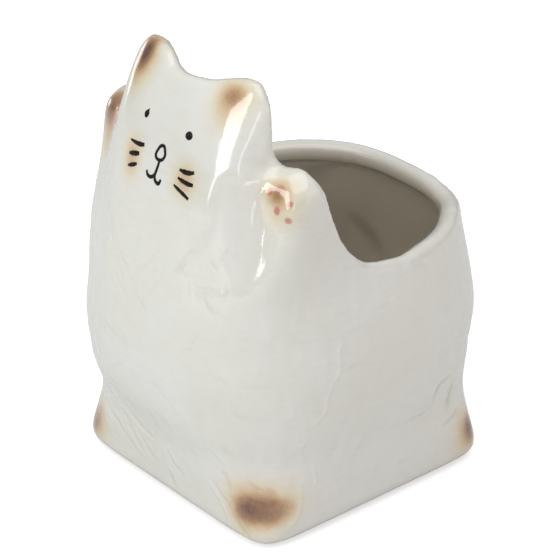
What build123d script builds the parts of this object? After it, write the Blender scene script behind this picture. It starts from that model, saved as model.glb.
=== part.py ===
from build123d import *
import os
from math import cos, pi, sin

# A slip-cast ceramic planter shaped like a sitting cat with both arms raised.
# The cat faces -Y, its left side is +X, and the pads under it rest on Z = 0.
# All lengths are in millimetres.

# Overall sizes of the ceramic, measured from its own underside
base_width = 104.5
base_depth = 105.0
rim_height = 93.5
cat_height = 161.0

# The casting: walls, floor, the drop of the cavity under the crown, and the rounded edges
wall = 4.6
floor_thickness = 6.5
crown_drop = 2.0
edge_radius = 1.7
foot_edge_radius = 4.0

# The underside: a shallow recess inside the foot ring
foot_ring_width = 13.0
recess_depth = 1.8

# The drain hole in the floor and the rubber plug in it
drain_radius = 6.5
plug_clearance = 0.05
plug_flange_radius = 10.5
plug_flange_thickness = 2.2
plug_knob_radius = 4.0
plug_knob_height = 5.0
plug_nose_length = 1.2
plug_hollow_radius = 3.6
plug_top_wall = 2.4
plug_edge_radius = 0.9

# The felt pads under the four corners
pad_radius = 5.5
pad_thickness = 1.2
pad_inset = 1.6

# How far a cutting shape runs past what it cuts
overrun = 10.0

# The form is a stack of level rings. A ring joins two superellipses round one centre:
# the pot, whose sides run up into the raised arms, and the narrower trunk and head,
# which stand out of the pot's front. Height: 0 to 1 is the underside to the rim, and
# 1 to 2 the rim to the ear tips. Side, front and back are shares of half the base width
# and of half the base depth. Squareness 2 is round and 10 nearly square.
# (height, pot side, pot front, pot back, squareness in front, squareness behind,
#  head side, head front, head squareness)
ring_shares = [
    (0.000, 1.000, 1.000, 1.000, 9.0, 9.0, 0.700, 0.700, 3.0),
    (0.070, 1.005, 1.005, 1.006, 9.5, 10.5, 0.700, 0.750, 3.0),
    (0.150, 1.008, 1.018, 1.018, 6.0, 6.5, 0.720, 0.820, 3.0),
    (0.280, 1.030, 1.065, 1.048, 3.7, 4.1, 0.760, 0.920, 3.0),
    (0.450, 1.095, 1.185, 1.145, 3.0, 3.0, 0.820, 1.080, 3.0),
    (0.640, 1.130, 1.245, 1.205, 2.75, 2.8, 0.860, 1.210, 3.0),
    (0.840, 1.090, 1.205, 1.200, 2.9, 2.55, 0.860, 1.230, 3.0),
    (1.000, 1.020, 1.100, 1.175, 4.0, 2.4, 0.840, 1.195, 3.1),
    (1.175, 1.005, 0.930, 1.165, 6.5, 3.0, 0.770, 1.145, 3.4),
    (1.340, 1.018, 0.830, 1.130, 9.0, 3.0, 0.735, 1.090, 3.9),
    (1.455, 1.024, 0.800, 1.100, 9.0, 3.0, 0.725, 1.055, 4.1),
    (1.535, 1.010, 0.775, 1.070, 8.0, 3.0, 0.730, 1.025, 4.2),
    (1.585, 0.975, 0.745, 1.030, 7.0, 3.0, 0.734, 1.005, 4.2),
    (1.630, 0.880, 0.670, 0.960, 6.0, 3.0, 0.738, 0.985, 4.1),
    (1.660, 0.720, 0.570, 0.850, 4.0, 3.0, 0.741, 0.970, 4.0),
    (1.740, 0.600, 0.450, 0.800, 4.0, 3.0, 0.747, 0.920, 4.0),
    (1.835, 0.550, 0.400, 0.750, 4.0, 3.0, 0.751, 0.850, 4.0),
    (1.945, 0.500, 0.300, 0.700, 4.0, 3.0, 0.742, 0.750, 4.0),
    (2.080, 0.450, 0.200, 0.600, 4.0, 3.0, 0.710, 0.600, 4.0),
]

# The rim seen from the side, from the level back rim up over the paw to the head.
# (share of half the base depth, height share as above)
rim_curve_shares = [
    (-0.020, 1.000),
    (-0.110, 1.023),
    (-0.200, 1.077),
    (-0.295, 1.165),
    (-0.380, 1.283),
    (-0.460, 1.432),
    (-0.530, 1.566),
    (-0.605, 1.636),
]
nape_curve_shares = [
    (-0.630, 1.680),
    (-0.630, 1.783),
    (-0.605, 1.906),
    (-0.560, 2.130),
]

# The ears seen from the front, from the middle of the head outwards.
# (share of half the base width, height share as above)
ear_curve_shares = [
    (0.000, 1.908),
    (0.130, 1.922),
    (0.270, 1.962),
    (0.390, 1.988),
    (0.455, 1.996),
    (0.510, 1.996),
    (0.560, 1.975),
    (0.615, 1.926),
    (0.680, 1.845),
    (0.745, 1.762),
    (0.850, 1.680),
]

# Points round each ring, the rings' spacing, and how far a ring's two ovals melt together
ring_points = 40
ring_spacing = 6.0
crease_blend = 3.0


def height_at(share):
    """Height above the ceramic's underside for a height share from 0 to 2."""
    if share <= 1:
        return share * rim_height
    return rim_height + (share - 1) * (cat_height - rim_height)


def oval_reach(angle, side, depth, squareness):
    """Distance from the centre to a superellipse in one direction."""
    size = abs(cos(angle) / side) ** squareness + abs(sin(angle) / depth) ** squareness
    return size ** (-1 / squareness)


def melt(one, other):
    """The larger of two distances, rounded off where they are nearly the same."""
    gap = max(crease_blend - abs(one - other), 0)
    return max(one, other) + gap * gap / (4 * crease_blend)


def shares_at(height):
    """The ring shares at any height: a smooth curve through the table's rows."""
    rows = ring_shares
    heights = [height_at(row[0]) for row in rows]
    above = next((i for i, z in enumerate(heights) if z > height), len(rows) - 1)
    above = max(above, 1)
    span = heights[above] - heights[above - 1]
    along = (height - heights[above - 1]) / span
    blended = []
    for column in range(1, len(rows[0])):
        low, high = rows[above - 1][column], rows[above][column]
        slopes = []
        for row in (above - 1, above):
            before, after = max(row - 1, 0), min(row + 1, len(rows) - 1)
            rise = rows[after][column] - rows[before][column]
            slopes.append(rise * span / (heights[after] - heights[before]))
        blended.append(
            low * (1 + 2 * along) * (1 - along) ** 2
            + high * (3 - 2 * along) * along**2
            + slopes[0] * along * (1 - along) ** 2
            + slopes[1] * (along - 1) * along**2
        )
    return blended


def ring(height, shares, inset):
    """One level ring of the form, drawn in by the inset."""
    side, front, back, front_squareness, back_squareness = shares[:5]
    head_side, head_front, head_squareness = shares[5:]
    points = []
    for step in range(ring_points):
        angle = pi / 2 + 2 * pi * step / ring_points
        behind = sin(angle) > 0
        depth = back if behind else front
        squareness = back_squareness if behind else front_squareness
        pot = oval_reach(
            angle,
            side * base_width / 2 - inset,
            depth * base_depth / 2 - inset,
            squareness,
        )
        head = oval_reach(
            angle,
            head_side * base_width / 2 - inset,
            head_front * base_depth / 2 - inset,
            head_squareness,
        )
        reach = melt(pot, head)
        points.append(Vector(reach * cos(angle), reach * sin(angle), height))
    steps = [step / ring_points for step in range(ring_points + 1)]
    return Wire([Edge.make_spline(points, periodic=True, parameters=steps)])


def form(inset, drop, floor):
    """A solid lofted through evenly spaced rings above the floor, lowered by the drop."""
    top = height_at(ring_shares[-1][0]) - drop
    count = round((top - floor) / ring_spacing)
    rings = []
    for step in range(count + 1):
        height = floor + (top - floor) * step / count
        rings.append(ring(height, shares_at(height + drop), inset))
    return Solid.make_loft(rings)


def rim_cutter():
    """Everything above the rim and behind the arms and the head, as one wide block."""
    half_depth = base_depth / 2
    rise = [(share * half_depth, height_at(height)) for share, height in rim_curve_shares]
    nape = [(share * half_depth, height_at(height)) for share, height in nape_curve_shares]
    back = max(shares[3] for shares in ring_shares) * half_depth + overrun
    top = nape[-1][1]
    edges = [
        Edge.make_line((0, back, rim_height), (0, rise[0][0], rim_height)),
        Edge.make_spline([Vector(0, y, z) for y, z in rise + nape]),
        Edge.make_line((0, nape[-1][0], top), (0, back, top)),
        Edge.make_line((0, back, top), (0, back, rim_height)),
    ]
    half_width = max(shares[1] for shares in ring_shares) * base_width / 2 + overrun
    block = extrude(Face(Wire(edges)), amount=2 * half_width, dir=(1, 0, 0))
    return block.moved(Location((-half_width, 0, 0)))


def ear_cutter():
    """Everything outside the outline of the two ears, as one block that runs front to back."""
    half_width = base_width / 2
    right = [(share * half_width, height_at(height)) for share, height in ear_curve_shares]
    left = [(-x, z) for x, z in reversed(right[1:])]
    outline = left + right
    top = cat_height + overrun
    foot_x, foot_z = right[-1]
    edges = [
        Edge.make_spline([Vector(x, 0, z) for x, z in outline]),
        Edge.make_line((foot_x, 0, foot_z), (foot_x, 0, top)),
        Edge.make_line((foot_x, 0, top), (-foot_x, 0, top)),
        Edge.make_line((-foot_x, 0, top), (-foot_x, 0, foot_z)),
    ]
    reach = max(shares[7] for shares in ring_shares) * base_depth / 2 + overrun
    return extrude(Face(Wire(edges)), amount=reach, dir=(0, -1, 0))


def ceramic_body():
    """The casting: outer form less the cavity, trimmed at the rim, with its foot and drain."""
    cavity = form(wall, crown_drop, floor_thickness)
    body = form(0, 0, 0) - cavity - rim_cutter() - ear_cutter()
    body = body.solids()[0]
    rim_edges = [edge for edge in body.edges() if edge.bounding_box().min.Z > rim_height - edge_radius]
    body = body.fillet(edge_radius, rim_edges)
    foot_edges = [edge for edge in body.edges() if edge.bounding_box().max.Z < foot_edge_radius / 2]
    body = body.fillet(foot_edge_radius, foot_edges)
    recess = extrude(Face(ring(0, shares_at(0), foot_ring_width)), amount=recess_depth)
    drain = Cylinder(drain_radius, 2 * floor_thickness)
    body = body - recess - drain
    return body.moved(Location((0, 0, pad_thickness)))


def drain_plug():
    """The rubber stopper: a flange on the floor, a shank in the drain hole, a knob to pull."""
    floor = pad_thickness + floor_thickness
    shank_radius = drain_radius - plug_clearance
    nose = pad_thickness + recess_depth - plug_nose_length
    neck_radius = plug_knob_radius - plug_edge_radius
    flange_top = floor + plug_flange_thickness
    knob_top = flange_top + plug_knob_height
    knob_middle = knob_top - plug_edge_radius * 2
    with BuildPart() as plug:
        with BuildSketch(Plane.XZ):
            with BuildLine():
                Polyline(
                    (0, floor + plug_flange_thickness - plug_top_wall),
                    (plug_hollow_radius, floor + plug_flange_thickness - plug_top_wall),
                    (plug_hollow_radius, nose),
                    (shank_radius - plug_edge_radius / 2, nose),
                    (shank_radius, nose + plug_edge_radius),
                    (shank_radius, floor),
                    (plug_flange_radius, floor),
                )
                Line((plug_flange_radius, floor), (plug_flange_radius, flange_top - plug_edge_radius))
                ThreePointArc(
                    (plug_flange_radius, flange_top - plug_edge_radius),
                    (
                        plug_flange_radius - plug_edge_radius * (1 - sin(pi / 4)),
                        flange_top - plug_edge_radius * (1 - sin(pi / 4)),
                    ),
                    (plug_flange_radius - plug_edge_radius, flange_top),
                )
                Polyline(
                    (plug_flange_radius - plug_edge_radius, flange_top),
                    (neck_radius, flange_top),
                    (neck_radius, knob_middle - plug_edge_radius),
                    (plug_knob_radius, knob_middle),
                )
                Spline(
                    (plug_knob_radius, knob_middle),
                    (plug_knob_radius - plug_edge_radius, knob_top - plug_edge_radius / 2),
                    (0, knob_top),
                    tangents=[(0, 1), (-1, 0)],
                )
                Line(
                    (0, knob_top),
                    (0, floor + plug_flange_thickness - plug_top_wall),
                )
            make_face()
        revolve(axis=Axis.Z)
    return plug.part


def felt_pad(side, end):
    """One round pad under a corner of the foot ring."""
    place = foot_edge_radius + pad_inset + pad_radius
    x = side * (base_width / 2 - place)
    y = end * (base_depth / 2 - place)
    pad = Cylinder(pad_radius, pad_thickness, align=(Align.CENTER, Align.CENTER, Align.MIN))
    return pad.moved(Location((x, y, 0)))


nodes = {"ceramic_body": ceramic_body(), "drain_plug": drain_plug()}
for side, side_name in ((-1, "right"), (1, "left")):
    for end, end_name in ((-1, "front"), (1, "back")):
        nodes[f"pad_{end_name}_{side_name}"] = felt_pad(side, end)

os.makedirs("parts", exist_ok=True)
for name, solid in nodes.items():
    export_step(solid, f"parts/{name}.step")
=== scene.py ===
"""Visual model of a glazed ceramic cat planter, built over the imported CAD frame.

The cat faces -Y, its left side is +X, and the pads under it rest on Z = 0. Lengths are in metres, apart
from those whose names end in mm, and pixels are those of the photograph.
"""

import logging
import math
from dataclasses import dataclass, field
from enum import Enum

import bmesh
import bpy
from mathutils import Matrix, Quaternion, Vector, noise
from mathutils.bvhtree import BVHTree
from mathutils.kdtree import KDTree


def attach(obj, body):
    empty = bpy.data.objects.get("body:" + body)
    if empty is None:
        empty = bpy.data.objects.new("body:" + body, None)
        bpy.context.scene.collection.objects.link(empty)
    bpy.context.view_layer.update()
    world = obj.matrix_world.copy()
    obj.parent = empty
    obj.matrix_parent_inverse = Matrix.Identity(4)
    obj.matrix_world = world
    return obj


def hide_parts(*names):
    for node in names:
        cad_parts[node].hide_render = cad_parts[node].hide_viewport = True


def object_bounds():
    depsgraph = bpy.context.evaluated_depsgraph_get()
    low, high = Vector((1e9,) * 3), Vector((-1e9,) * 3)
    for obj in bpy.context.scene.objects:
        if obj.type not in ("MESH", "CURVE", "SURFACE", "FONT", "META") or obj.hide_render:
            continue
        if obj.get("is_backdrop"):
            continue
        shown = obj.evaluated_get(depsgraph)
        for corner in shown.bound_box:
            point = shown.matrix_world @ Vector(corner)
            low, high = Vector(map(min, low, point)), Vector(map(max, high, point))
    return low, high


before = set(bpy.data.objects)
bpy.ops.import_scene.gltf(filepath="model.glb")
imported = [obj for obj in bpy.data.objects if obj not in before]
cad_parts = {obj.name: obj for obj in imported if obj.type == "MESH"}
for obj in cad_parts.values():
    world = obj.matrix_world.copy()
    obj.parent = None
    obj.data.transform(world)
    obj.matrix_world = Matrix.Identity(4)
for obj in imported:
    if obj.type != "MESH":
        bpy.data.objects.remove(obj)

log = logging.getLogger("cat_planter")

MM = 0.001
POT_BODY = "pot"
CERAMIC_NODE = "ceramic_body"
PLUG_NODE = "drain_plug"
PAD_NODES = ("pad_front_right", "pad_front_left", "pad_back_right", "pad_back_left")
IMAGE_SIZE = 560
SENSOR_WIDTH_MM = 36.0
INSIDE_SHADE_ATTRIBUTE = "inside"
POOLED_AND_SHADE_ATTRIBUTE = "pooled_and_shade"
FAR_OUT = 1.0
UP = Vector((0.0, 0.0, 1.0))
WHITE = (1.0, 1.0, 1.0, 1.0)

Colour = tuple[float, float, float, float]
Pixel = tuple[float, float]
Socket = bpy.types.NodeSocket
Value = Socket | float | tuple[float, ...]


class Tint(Enum):
    """Colours that are airbrushed or painted on the glaze, as linear red, green and blue."""

    BROWN = (0.135, 0.058, 0.026, 1.0)
    PINK = (0.520, 0.130, 0.105, 1.0)


class Blend(Enum):
    """Ways to lay one colour over another."""

    COVER = "MIX"
    TINT = "MULTIPLY"


@dataclass(frozen=True)
class SoftSpot:
    """One airbrushed spot: a pixel of the photograph for its middle, and its size on the surface."""

    name: str
    pixel: Pixel
    radii_mm: tuple[float, float, float]
    tint: Tint
    strength: float
    hardness: float = 1.0
    mirrored: bool = False


@dataclass(frozen=True)
class BrushStroke:
    """One painted stroke through pixels of the photograph, with its width at each of them."""

    name: str
    pixels: tuple[Pixel, ...]
    widths_mm: tuple[float, ...]
    closed: bool = False


SOFT_SPOTS = (
    SoftSpot("right_ear_glow", (145, 60), (7.0, 8.0, 12.0), Tint.BROWN, 0.34),
    SoftSpot("right_ear_core", (147, 51), (4.2, 7.0, 7.6), Tint.BROWN, 0.80),
    SoftSpot("left_ear_glow", (230, 104), (7.0, 7.0, 8.5), Tint.BROWN, 0.34),
    SoftSpot("left_ear_core", (235, 94), (6.4, 6.0, 3.6), Tint.BROWN, 0.28),
    SoftSpot("right_paw_glow", (112, 118), (8.0, 8.0, 14.0), Tint.BROWN, 0.40),
    SoftSpot("right_paw_core", (113, 102), (5.5, 7.0, 9.5), Tint.BROWN, 0.52, 1.4),
    SoftSpot("left_paw_glow", (280, 203), (8.5, 7.0, 10.0), Tint.BROWN, 0.22),
    SoftSpot("left_paw_core", (278, 194), (4.0, 5.0, 3.8), Tint.BROWN, 0.42),
    SoftSpot("right_blush", (132, 156), (4.8, 6.0, 8.0), Tint.BROWN, 0.33),
    SoftSpot("left_blush", (184, 181), (5.8, 6.0, 6.6), Tint.BROWN, 0.32),
    SoftSpot("near_foot_glow", (262, 508), (13.0, 13.0, 8.6), Tint.BROWN, 0.38),
    SoftSpot("near_foot_core", (266, 512), (10.4, 10.4, 5.9), Tint.BROWN, 0.31, 1.9),
    SoftSpot("near_foot_dark", (259, 516), (8.0, 8.0, 3.6), Tint.BROWN, 0.11),
    SoftSpot("far_foot_glow", (100, 416), (6.0, 6.0, 9.0), Tint.BROWN, 0.38, mirrored=True),
    SoftSpot("far_foot_core", (96, 418), (4.0, 4.0, 6.5), Tint.BROWN, 0.56),
    SoftSpot("back_foot_glow", (466, 428), (7.0, 7.0, 9.0), Tint.BROWN, 0.40, mirrored=True),
    SoftSpot("back_foot_core", (469, 427), (3.4, 3.4, 6.0), Tint.BROWN, 0.66, mirrored=True),
    SoftSpot("chest_fleck", (225, 450), (1.8, 1.8, 2.4), Tint.BROWN, 0.08),
    SoftSpot("left_pad_1", (270, 192), (1.0, 4.0, 1.3), Tint.PINK, 0.85, 2.5),
    SoftSpot("left_pad_2", (277, 211), (1.4, 4.0, 1.6), Tint.PINK, 0.88, 2.5),
    SoftSpot("left_pad_3", (290, 205), (1.1, 4.0, 1.2), Tint.PINK, 0.80, 2.5),
    SoftSpot("left_pad_4", (288, 221), (1.2, 4.0, 1.3), Tint.PINK, 0.80, 2.5),
    SoftSpot("left_pad_5", (281, 189), (1.3, 4.0, 1.1), Tint.PINK, 0.50, 2.0),
    SoftSpot("right_pad_1", (117, 103), (1.1, 4.0, 1.4), Tint.PINK, 0.40, 2.5),
    SoftSpot("right_pad_2", (113, 118), (1.1, 4.0, 1.6), Tint.PINK, 0.50, 2.5),
)

# What more and more airbrushed brown does to the glaze: the share sprayed on, then its colour
AIRBRUSH_TONES = (
    (0.00, (1.000, 1.000, 1.000, 1.0)),
    (0.14, (0.960, 0.860, 0.690, 1.0)),
    (0.34, (0.810, 0.580, 0.365, 1.0)),
    (0.58, (0.510, 0.285, 0.150, 1.0)),
    (0.82, (0.310, 0.148, 0.076, 1.0)),
    (1.00, (0.160, 0.066, 0.034, 1.0)),
)

BRUSH_STROKES = (
    BrushStroke(
        "nose",
        ((163.4, 145.8), (157.2, 151.0), (156.0, 156.2), (159.8, 160.2), (164.4, 157.2), (165.2, 151.5)),
        (1.1, 1.0, 1.1, 1.1, 1.0, 1.1),
        closed=True,
    ),
    BrushStroke("nose_line", ((159.6, 160.4), (157.6, 167.0), (154.6, 175.4)), (1.0, 1.0, 1.1)),
    BrushStroke(
        "mouth_right",
        ((146.8, 169.6), (147.6, 174.4), (151.0, 176.8), (154.6, 174.6)),
        (0.9, 1.2, 1.2, 1.0),
    ),
    BrushStroke(
        "mouth_left",
        ((154.4, 174.6), (155.2, 181.0), (158.2, 183.6), (160.8, 179.6)),
        (1.0, 1.2, 1.3, 0.9),
    ),
    BrushStroke(
        "right_whisker_top",
        ((131.2, 139.0), (136.0, 142.2), (140.0, 144.0), (144.6, 144.8)),
        (0.7, 1.3, 1.6, 1.2),
    ),
    BrushStroke(
        "right_whisker_middle",
        ((129.4, 152.6), (132.0, 152.8), (136.0, 153.2), (139.4, 153.4)),
        (1.0, 1.6, 1.7, 1.2),
    ),
    BrushStroke(
        "right_whisker_low",
        ((128.0, 164.8), (130.6, 164.6), (134.0, 164.2), (137.0, 163.6)),
        (0.8, 1.4, 1.4, 0.9),
    ),
    BrushStroke(
        "left_whisker_top",
        ((179.6, 169.6), (184.0, 171.8), (189.0, 173.2), (194.4, 173.0)),
        (0.9, 1.6, 1.6, 1.0),
    ),
    BrushStroke(
        "left_whisker_middle",
        ((177.8, 177.6), (182.0, 180.8), (187.6, 184.0), (193.0, 185.8)),
        (0.8, 1.4, 1.5, 1.1),
    ),
    BrushStroke(
        "left_whisker_low",
        ((173.8, 184.8), (178.0, 189.2), (183.0, 194.2), (188.2, 199.4)),
        (0.8, 1.2, 1.3, 1.0),
    ),
)


@dataclass(frozen=True)
class PaintDab:
    """One dab of paint: its pixel, its size on the surface and how far it tapers and leans upwards."""

    name: str
    pixel: Pixel
    width_mm: float
    height_mm: float
    taper: float = 0.0
    lean: float = 0.0


PAINT_DABS = (
    PaintDab("right_eye", (147.3, 112.6), 2.3, 3.4, taper=0.75, lean=0.5),
    PaintDab("left_eye", (189.1, 135.8), 3.4, 2.9, taper=0.10),
)


@dataclass(frozen=True)
class Crease:
    """A line in the clay through pixels of the photograph, sunk, or raised where its depth is negative."""

    name: str
    pixels: tuple[Pixel, ...]
    width_mm: float
    depth_mm: float
    mirrored: bool = False


# Every sunk crease also darkens the glaze by its depth: partly glaze pooling in it, partly painted shade.
CREASES = (
    Crease("arm_fold", ((268, 176), (260, 196), (255, 214), (253, 230)), 1.0, 0.16, mirrored=True),
    Crease("chest_1", ((233, 228), (231, 240), (225, 252), (220, 260)), 0.75, 0.14),
    Crease("chest_2", ((196, 249), (186, 258), (178, 265), (171, 274)), 0.75, 0.14, mirrored=True),
    Crease("chest_3", ((192, 258), (184, 264), (178, 272)), 0.60, 0.08, mirrored=True),
    Crease("chest_4", ((154, 257), (146, 264), (139, 272)), 0.70, 0.11),
    Crease("chest_5", ((116, 238), (119, 250), (124, 262), (127, 268)), 0.75, 0.13),
    Crease("chest_6", ((115, 272), (118, 280), (123, 290), (128, 298)), 0.70, 0.11),
    Crease("chest_7", ((159, 281), (153, 290), (148, 298)), 0.70, 0.11, mirrored=True),
    Crease("chest_8", ((137, 296), (143, 306), (146, 313)), 0.70, 0.11),
    Crease("chest_9", ((206, 289), (207, 300), (212, 309), (222, 319)), 0.80, 0.14, mirrored=True),
    Crease("chest_10", ((228, 284), (226, 294), (223, 304)), 0.80, 0.13, mirrored=True),
    Crease("chest_11", ((185, 280), (186, 298)), 0.60, 0.08),
    Crease("chest_12", ((190, 280), (190, 297)), 0.60, 0.08),
    Crease("chest_13", ((209, 254), (214, 264), (218, 270)), 0.70, 0.09),
    Crease("chest_14", ((187, 220), (191, 232), (196, 241)), 0.65, 0.08, mirrored=True),
    Crease("chest_15", ((104, 320), (112, 332), (122, 340), (129, 349)), 0.80, 0.11),
    Crease("chest_16", ((180, 310), (174, 320), (173, 330)), 0.70, 0.08),
    Crease("chest_17", ((198, 334), (192, 344), (190, 352)), 0.70, 0.09, mirrored=True),
    Crease("chest_18", ((164, 268), (161, 279), (163, 288)), 0.65, 0.08),
    Crease("chest_19", ((128, 269), (133, 282), (136, 290)), 0.65, 0.08),
    Crease("belly_1", ((203, 368), (213, 377), (222, 382), (232, 391)), 0.85, 0.11, mirrored=True),
    Crease("belly_2", ((242, 385), (258, 388), (278, 388)), 0.85, 0.09, mirrored=True),
    Crease("belly_3", ((148, 378), (160, 392), (172, 408)), 0.80, 0.09, mirrored=True),
    Crease("belly_4", ((232, 413), (246, 420)), 0.75, 0.09),
    Crease("side_fold_1", ((112, 380), (122, 399), (136, 419), (154, 439)), 0.80, 0.49),
    Crease("side_ridge_1", ((113, 390), (124, 407), (137, 425), (152, 441)), 0.75, -0.35),
    Crease("side_fold_2", ((105, 398), (114, 415), (124, 431), (134, 446)), 0.80, 0.43),
    Crease("side_ridge_2", ((108, 411), (114, 424), (120, 436)), 0.75, -0.32),
    Crease("side_fold_3", ((121, 408), (128, 420), (134, 433), (143, 449)), 0.75, 0.41),
    Crease("side_ridge_3", ((122, 416), (128, 428), (136, 444), (148, 460)), 0.70, -0.32),
    Crease("side_fold_4", ((140, 434), (147, 446), (155, 460)), 0.75, 0.35),
    Crease("side_fold_5", ((169, 470), (172, 478), (175, 486)), 0.75, 0.41),
    Crease("side_fold_6", ((168, 452), (174, 464), (184, 476)), 0.75, 0.24),
    Crease("near_ridge_1", ((209, 482), (218, 496), (225, 510), (228, 519)), 0.70, -0.41),
    Crease("near_fold_1", ((213, 480), (221, 494), (229, 506), (233, 518)), 0.70, 0.46),
    Crease("near_fold_2", ((222, 470), (228, 480), (230, 495)), 0.75, 0.35),
    Crease("near_fold_3", ((234, 516), (241, 527), (248, 536)), 0.75, 0.54),
    Crease("near_ridge_2", ((242, 517), (248, 526), (255, 535)), 0.65, -0.35),
    Crease("near_fold_4", ((246, 481), (256, 488), (265, 492)), 0.70, 0.38),
    Crease("near_fold_5", ((266, 488), (276, 493)), 0.65, 0.32),
    Crease("near_fold_6", ((244, 496), (252, 499), (260, 500)), 0.70, 0.16),
    Crease("near_ridge_3", ((300, 482), (301, 500), (297, 519), (283, 533)), 0.90, -0.30),
    Crease("near_ridge_4", ((211, 449), (222, 460), (233, 470)), 0.85, -0.22),
    Crease("corner_ridge_1", ((344, 340), (339, 352), (341, 370), (333, 384)), 0.55, -0.20),
    Crease("corner_ridge_2", ((333, 384), (328, 398), (325, 414), (312, 427)), 0.65, -0.24),
    Crease("corner_ridge_3", ((308, 433), (306, 442), (301, 450), (306, 462)), 0.55, -0.24),
    Crease("corner_ridge_4", ((313, 462), (315, 472), (316, 482), (312, 490)), 0.60, -0.26),
    Crease("flank_1", ((346, 372), (357, 366), (375, 365)), 0.80, 0.14, mirrored=True),
    Crease("flank_2", ((384, 292), (390, 297), (396, 292)), 0.60, 0.09),
    Crease("flank_3", ((412, 268), (420, 264), (428, 266)), 0.70, 0.11),
    Crease("back_fold_1", ((451, 376), (441, 384), (436, 394), (432, 403)), 0.85, 0.57),
    Crease("back_fold_2", ((452, 384), (449, 397), (446, 411)), 1.60, 0.68, mirrored=True),
    Crease("back_fold_3", ((458, 408), (452, 418), (444, 426)), 0.75, 0.41),
    Crease("inner_corner", ((343, 213), (357, 224), (370, 238), (381, 256)), 3.0, 0.75),
    Crease("back_fold_4", ((432, 408), (420, 416), (410, 420)), 0.70, 0.22),
)


@dataclass(frozen=True)
class Lift:
    """A soft change of shape round a pixel of the photograph, where the hand-made pot differs.

    It moves the clay up by rise_mm and out of the surface by swell_mm, or the other way where they are
    negative.
    """

    name: str
    pixel: Pixel
    radius_mm: float
    rise_mm: float
    swell_mm: float = 0.0


LIFTS = (
    Lift("right_ear_valley", (195, 80), 8.0, 1.6),
    Lift("right_ear_slope", (180, 62), 6.5, 2.0),
    Lift("left_arm_notch", (285, 164), 5.0, -1.6),
    Lift("left_arm_top", (299, 174), 6.5, 2.0),
    Lift("left_arm_shoulder", (327, 193), 6.5, -0.9),
    Lift("back_rim", (303, 143), 22.0, 1.3),
    Lift("rim_corner", (447, 187), 12.0, -1.3),
    Lift("notch_rim", (378, 268), 7.0, 1.4),
    Lift("left_paw", (291, 213), 5.0, 0.0, 1.2),
    Lift("left_cheek", (213, 218), 9.0, 0.0, 1.1),
    Lift("left_cheek_side", (243, 180), 10.0, 0.0, 0.8),
    Lift("right_ear_side", (170, 52), 4.5, 1.2),
)

# Section of the lip from its foot round to the rim: shares of its width inwards and of its height down
LIP_PROFILE = (
    (-1.3, 0.12),
    (0.0, 0.10),
    (0.55, 0.14),
    (0.90, 0.32),
    (1.00, 0.55),
    (1.00, 0.90),
    (0.80, 1.04),
    (0.0, 1.00),
    (-1.3, 1.00),
)


@dataclass(frozen=True)
class Grain:
    """An uneven pattern: its waves per metre, its octaves and how far it is warped."""

    scale: float
    detail: float = 2.0
    distortion: float = 0.0


@dataclass(frozen=True)
class Step:
    """A smooth step: where it starts and ends, and the results below and above it."""

    low: float
    high: float
    bottom: float = 0.0
    top: float = 1.0


def share_between(value: float, start: float, end: float) -> float:
    """Tells how far a value has come from one limit to the other.

    Args:
        value: The value.
        start: The limit where the share is 0.
        end: The limit where the share is 1, above the first one or below it.

    Returns:
        A share, held between 0 and 1.
    """
    return min(max((value - start) / (end - start), 0.0), 1.0)


def eased(share: float) -> float:
    """A share from 0 to 1 that sets off and arrives gently."""
    return share * share * (3.0 - 2.0 * share)


def read_between(row: list[float], place: float) -> float:
    """Reads a row of numbers at a place between two of its entries.

    Args:
        row: The numbers.
        place: Which entry is read, with a fraction of the way to the next one.

    Returns:
        The number there.
    """
    entry = int(place)
    return row[entry] + (row[entry + 1] - row[entry]) * (place - entry)


def bearing(azimuth_deg: float, elevation_deg: float) -> Vector:
    """Gives the direction of a camera or light, seen from the planter.

    Args:
        azimuth_deg: Angle from the cat's front towards its left.
        elevation_deg: Angle above the floor.

    Returns:
        A unit vector.
    """
    azimuth, elevation = math.radians(azimuth_deg), math.radians(elevation_deg)
    flat = math.cos(elevation)
    return Vector((math.sin(azimuth) * flat, -math.cos(azimuth) * flat, math.sin(elevation)))


def looking_along(gaze: Vector) -> Quaternion:
    """The turn of an upright camera or light that looks along a vector."""
    return gaze.to_track_quat("-Z", "Y")


def mirrored(point: Vector) -> Vector:
    """The same point or normal on the cat's other side."""
    return Vector((-point.x, point.y, point.z))


def new_object(name: str, data: bpy.types.ID) -> bpy.types.Object:
    """Makes an object and links it to the scene.

    Args:
        name: Name of the object.
        data: Its mesh, curve, camera or light.

    Returns:
        The new object at the origin.
    """
    obj = bpy.data.objects.new(name, data)
    bpy.context.scene.collection.objects.link(obj)
    return obj


def object_from_bmesh(bm: bmesh.types.BMesh, name: str) -> bpy.types.Object:
    """Turns a bmesh into a smoothly shaded object at the origin.

    Args:
        bm: The bmesh, which is freed.
        name: Name of the object and of its mesh.

    Returns:
        The new object.
    """
    mesh = bpy.data.meshes.new(name)
    bm.to_mesh(mesh)
    bm.free()
    mesh.shade_smooth()
    return new_object(name, mesh)


def move_vertices(mesh: bpy.types.Mesh, places: list[Vector]) -> None:
    """Puts every vertex of a mesh at its new place.

    Args:
        mesh: The mesh.
        places: The new places, in the order of the vertices.
    """
    mesh.vertices.foreach_set("co", [axis for place in places for axis in place])
    mesh.update()


def store_values(mesh: bpy.types.Mesh, name: str, values: list[float]) -> None:
    """Stores a number at every vertex, for a material to read.

    Args:
        mesh: The mesh.
        name: Name of the attribute.
        values: The numbers, in the order of the vertices.
    """
    layer = mesh.attributes.new(name, "FLOAT", "POINT")
    layer.data.foreach_set("value", values)


def search_tree(points: list[Vector]) -> KDTree:
    """Sorts points so that those near a place are found quickly.

    Args:
        points: The points.

    Returns:
        The tree, which numbers the points in the order given.
    """
    tree = KDTree(len(points))
    for index, point in enumerate(points):
        tree.insert(point, index)
    tree.balance()
    return tree


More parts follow.
